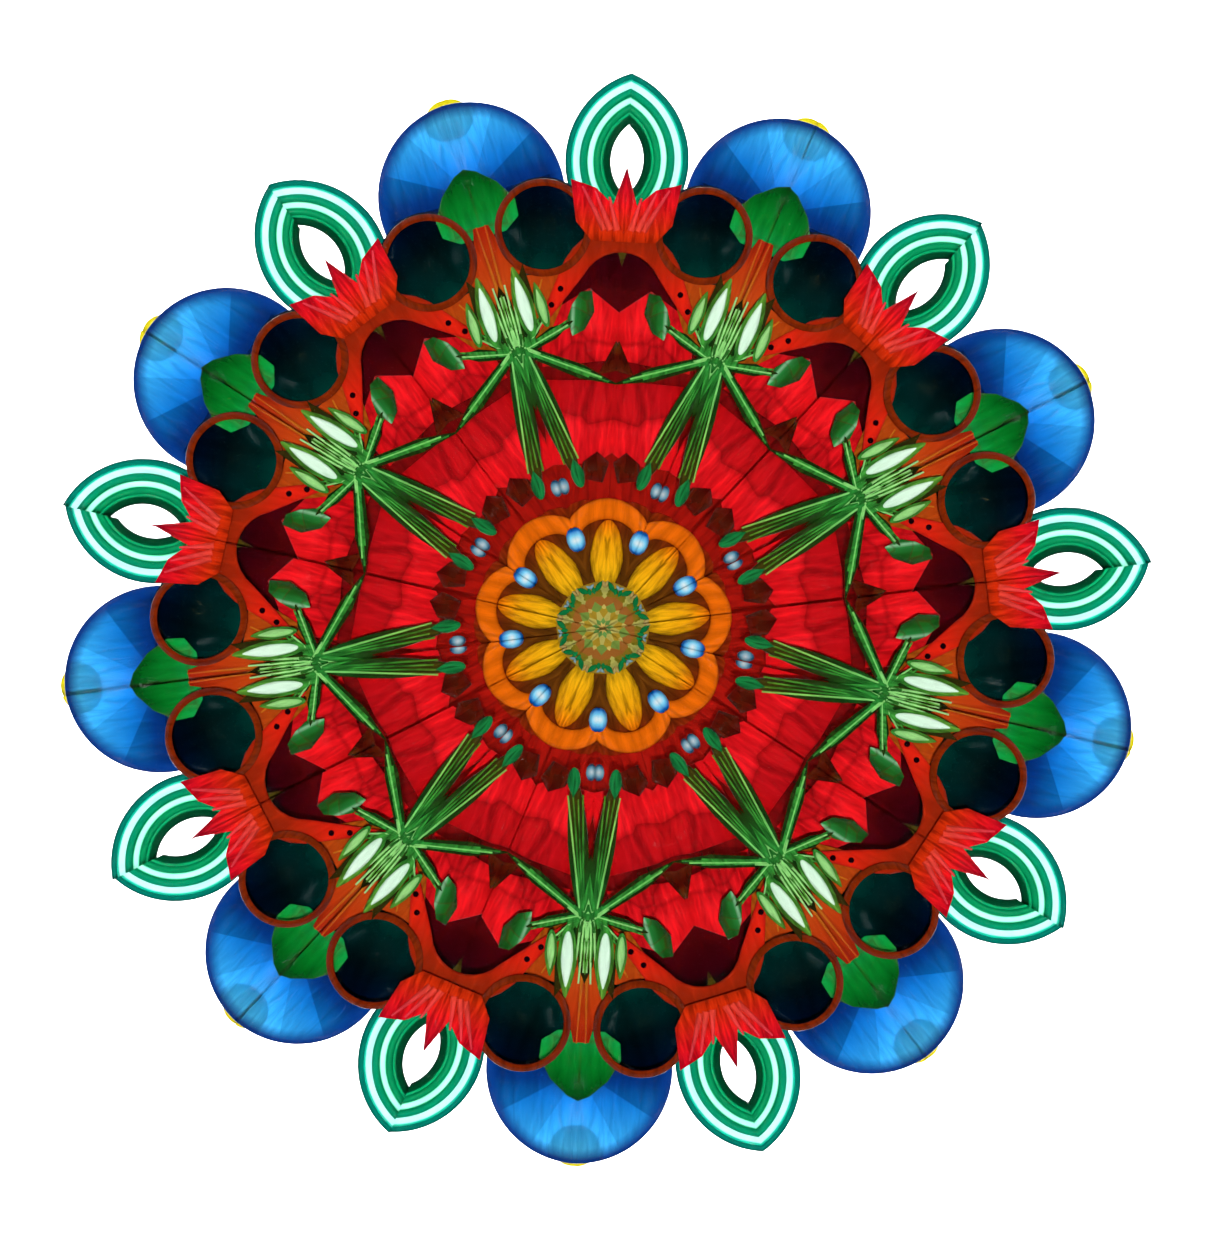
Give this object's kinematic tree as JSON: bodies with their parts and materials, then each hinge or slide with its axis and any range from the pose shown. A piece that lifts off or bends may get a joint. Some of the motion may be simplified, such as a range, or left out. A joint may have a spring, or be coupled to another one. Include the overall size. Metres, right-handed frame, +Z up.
{
  "type": "kaleidoscope",
  "caption": "Two-mirror kaleidoscope: six-sided wooden barrel, brass ends, eyepiece, tapered mirrors and a turning object cell of loose coloured glass.",
  "frame": {"origin": "centre of the barrel's lower flat, on the surface that the kaleidoscope lies on, halfway along its length", "axes": "+Z up; +Y along the barrel from the eyepiece to the object cell; +X to the right as the eye looks in"},
  "size_m": [0.074, 0.2372, 0.064],
  "materials": {
    "amber_glass": "red-brown amber glass",
    "birch_ply": "plain birch plywood",
    "black_card": "matt black card",
    "black_tape": "matt black tape",
    "blue_glass": "faceted transparent blue glass",
    "brass": "turned and satin polished, lacquered",
    "clear_acrylic": "clear polished acrylic",
    "felt": "dense brown felt",
    "fern_glass": "ribbed green glass with pale streaks",
    "foam": "grey open-cell foam",
    "frosted_glass": "finely frosted glass",
    "garnet_glass": "very dark red glass",
    "gold_glass": "green-gold glass",
    "green_glass": "transparent green glass",
    "mirror": "front-surface silvered glass",
    "night_glass": "very dark green-blue glass",
    "olive_glass": "olive glass",
    "orange_glass": "milky orange glass",
    "ruby_glass": "transparent red glass, folded",
    "screw_brass": "bright brass",
    "sky_glass": "pale blue glass",
    "steel": "blackened steel",
    "teal_glass": "transparent teal glass, ribbed",
    "umber_glass": "dark brown glass",
    "walnut": "oiled and waxed walnut, fine open grain, satin",
    "window_glass": "clear polished glass",
    "yellow_glass": "yellow glass"
  },
  "bodies": {
    "barrel": {"apex_tape": "black_tape", "eye_retainer": "screw_brass", "eye_window": "window_glass", "eyepiece": "brass", "front_flange": "brass", "front_flange_screws": "screw_brass", "front_foam_pad": "foam", "front_mirror_block": "birch_ply", "mirror_cover": "black_card", "mirror_left": "mirror", "mirror_right": "mirror", "rear_flange": "brass", "rear_flange_screws": "screw_brass", "rear_foam_pad": "foam", "rear_mirror_block": "birch_ply", "stave_bottom": "walnut", "stave_left_lower": "walnut", "stave_left_upper": "walnut", "stave_right_lower": "walnut", "stave_right_upper": "walnut", "stave_top": "walnut", "thrust_washer": "felt"},
    "cell": {"cell_drum": "clear_acrylic", "grip_ring": "brass", "inner_window": "window_glass", "outer_window": "frosted_glass", "cell_bezel": "brass", "cell_set_screws": "steel"},
    "amber_bead": {"amber_bead": "amber_glass"},
    "amber_fan": {"amber_fan": "amber_glass"},
    "amber_hoop": {"amber_hoop": "amber_glass"},
    "amber_splinter": {"amber_splinter": "amber_glass"},
    "blue_disc": {"blue_disc": "blue_glass"},
    "blue_marble": {"blue_marble": "blue_glass"},
    "crystal_drop": {"crystal_drop": "sky_glass"},
    "fern_star": {"fern_star": "fern_glass"},
    "garnet_disc": {"garnet_disc": "garnet_glass"},
    "garnet_splinter": {"garnet_splinter": "garnet_glass"},
    "gold_button": {"gold_button": "gold_glass"},
    "green_hoop": {"green_hoop": "green_glass"},
    "green_leaf": {"green_leaf": "fern_glass"},
    "green_pebble": {"green_pebble": "green_glass"},
    "green_shard": {"green_shard": "green_glass"},
    "night_bead": {"night_bead": "night_glass"},
    "olive_shard": {"olive_shard": "olive_glass"},
    "orange_bead": {"orange_bead": "orange_glass"},
    "orange_fan": {"orange_fan": "orange_glass"},
    "ruby_arch": {"ruby_arch": "ruby_glass"},
    "ruby_pentagon": {"ruby_pentagon": "ruby_glass"},
    "ruby_shard": {"ruby_shard": "ruby_glass"},
    "ruby_tulip": {"ruby_tulip": "ruby_glass"},
    "ruby_wedge": {"ruby_wedge": "ruby_glass"},
    "sky_bead": {"sky_bead": "sky_glass"},
    "teal_hoop": {"teal_hoop": "teal_glass"},
    "teal_ring": {"teal_ring": "teal_glass"},
    "umber_splinter": {"umber_splinter": "umber_glass"},
    "yellow_seed": {"yellow_seed": "yellow_glass"}
  },
  "joints": [
    {"name": "cell_turn", "type": "hinge", "parent": "barrel", "child": "cell", "pos_m": [0, 0.105, 0.032], "axis": [0, 1, 0], "continuous": true},
    {"name": "amber_bead_spin", "type": "hinge", "parent": "cell", "child": "amber_bead", "pos_m": [-0.0108, 0.1041, 0.017], "axis": [0, 1, 0], "continuous": true},
    {"name": "amber_fan_slide", "type": "slide", "parent": "cell", "child": "amber_fan", "axis": [0, 0, 1], "range_m": [0, 0.003]},
    {"name": "amber_hoop_spin", "type": "hinge", "parent": "cell", "child": "amber_hoop", "pos_m": [-0.00057, 0.1038, 0.02974], "axis": [0, 1, 0], "continuous": true},
    {"name": "amber_splinter_slide", "type": "slide", "parent": "cell", "child": "amber_splinter", "axis": [0, 0, 1], "range_m": [0, 0.003]},
    {"name": "blue_disc_spin", "type": "hinge", "parent": "cell", "child": "blue_disc", "pos_m": [-0.00455, 0.112, 0.03182], "axis": [0, 1, 0], "continuous": true},
    {"name": "blue_marble_spin", "type": "hinge", "parent": "cell", "child": "blue_marble", "pos_m": [-0.0155, 0.1102, 0.0255], "axis": [0, 1, 0], "continuous": true},
    {"name": "crystal_drop_slide", "type": "slide", "parent": "cell", "child": "crystal_drop", "axis": [0, 0, 1], "range_m": [0, 0.003]},
    {"name": "fern_star_slide", "type": "slide", "parent": "cell", "child": "fern_star", "axis": [0, 0, 1], "range_m": [0, 0.003]},
    {"name": "garnet_disc_spin", "type": "hinge", "parent": "cell", "child": "garnet_disc", "pos_m": [0.00091, 0.1133, 0.02029], "axis": [0, 1, 0], "continuous": true},
    {"name": "garnet_splinter_slide", "type": "slide", "parent": "cell", "child": "garnet_splinter", "axis": [0, 0, 1], "range_m": [0, 0.003]},
    {"name": "gold_button_spin", "type": "hinge", "parent": "cell", "child": "gold_button", "pos_m": [0, 0.1026, 0.0082], "axis": [0, 1, 0], "continuous": true},
    {"name": "green_hoop_spin", "type": "hinge", "parent": "cell", "child": "green_hoop", "pos_m": [0.0203, 0.1053, 0.0305], "axis": [0, 1, 0], "continuous": true},
    {"name": "green_leaf_slide", "type": "slide", "parent": "cell", "child": "green_leaf", "axis": [0, 0, 1], "range_m": [0, 0.0006]},
    {"name": "green_pebble_slide", "type": "slide", "parent": "cell", "child": "green_pebble", "axis": [0, 0, 1], "range_m": [0, 0.003]},
    {"name": "green_shard_slide", "type": "slide", "parent": "cell", "child": "green_shard", "axis": [0, 0, 1], "range_m": [0, 0.003]},
    {"name": "night_bead_spin", "type": "hinge", "parent": "cell", "child": "night_bead", "pos_m": [-0.00058, 0.10874, 0.02963], "axis": [0, 1, 0], "continuous": true},
    {"name": "olive_shard_slide", "type": "slide", "parent": "cell", "child": "olive_shard", "axis": [0, 0, 1], "range_m": [0, 0.003]},
    {"name": "orange_bead_spin", "type": "hinge", "parent": "cell", "child": "orange_bead", "pos_m": [0.0122, 0.1125, 0.0156], "axis": [0, 1, 0], "continuous": true},
    {"name": "orange_fan_slide", "type": "slide", "parent": "cell", "child": "orange_fan", "axis": [0, 0, 1], "range_m": [0, 0.003]},
    {"name": "ruby_arch_slide", "type": "slide", "parent": "cell", "child": "ruby_arch", "axis": [0, 0, 1], "range_m": [0, 0.003]},
    {"name": "ruby_pentagon_slide", "type": "slide", "parent": "cell", "child": "ruby_pentagon", "axis": [0, 0, 1], "range_m": [0, 0.003]},
    {"name": "ruby_shard_slide", "type": "slide", "parent": "cell", "child": "ruby_shard", "axis": [0, 0, 1], "range_m": [0, 0.003]},
    {"name": "ruby_tulip_slide", "type": "slide", "parent": "cell", "child": "ruby_tulip", "axis": [0, 0, 1], "range_m": [0, 0.003]},
    {"name": "ruby_wedge_slide", "type": "slide", "parent": "cell", "child": "ruby_wedge", "axis": [0, 0, 1], "range_m": [0, 0.003]},
    {"name": "sky_bead_slide", "type": "slide", "parent": "cell", "child": "sky_bead", "axis": [0, 0, 1], "range_m": [0, 0.002]},
    {"name": "teal_hoop_spin", "type": "hinge", "parent": "cell", "child": "teal_hoop", "pos_m": [0.015, 0.1065, 0.023], "axis": [0, 1, 0], "continuous": true},
    {"name": "teal_ring_spin", "type": "hinge", "parent": "cell", "child": "teal_ring", "pos_m": [0.00625, 0.1101, 0.03258], "axis": [0, 1, 0], "continuous": true},
    {"name": "umber_splinter_slide", "type": "slide", "parent": "cell", "child": "umber_splinter", "axis": [0, 0, 1], "range_m": [0, 0.003]},
    {"name": "yellow_seed_spin", "type": "hinge", "parent": "cell", "child": "yellow_seed", "pos_m": [-0.00519, 0.11498, 0.03636], "axis": [0, 1, 0], "continuous": true}
  ]
}
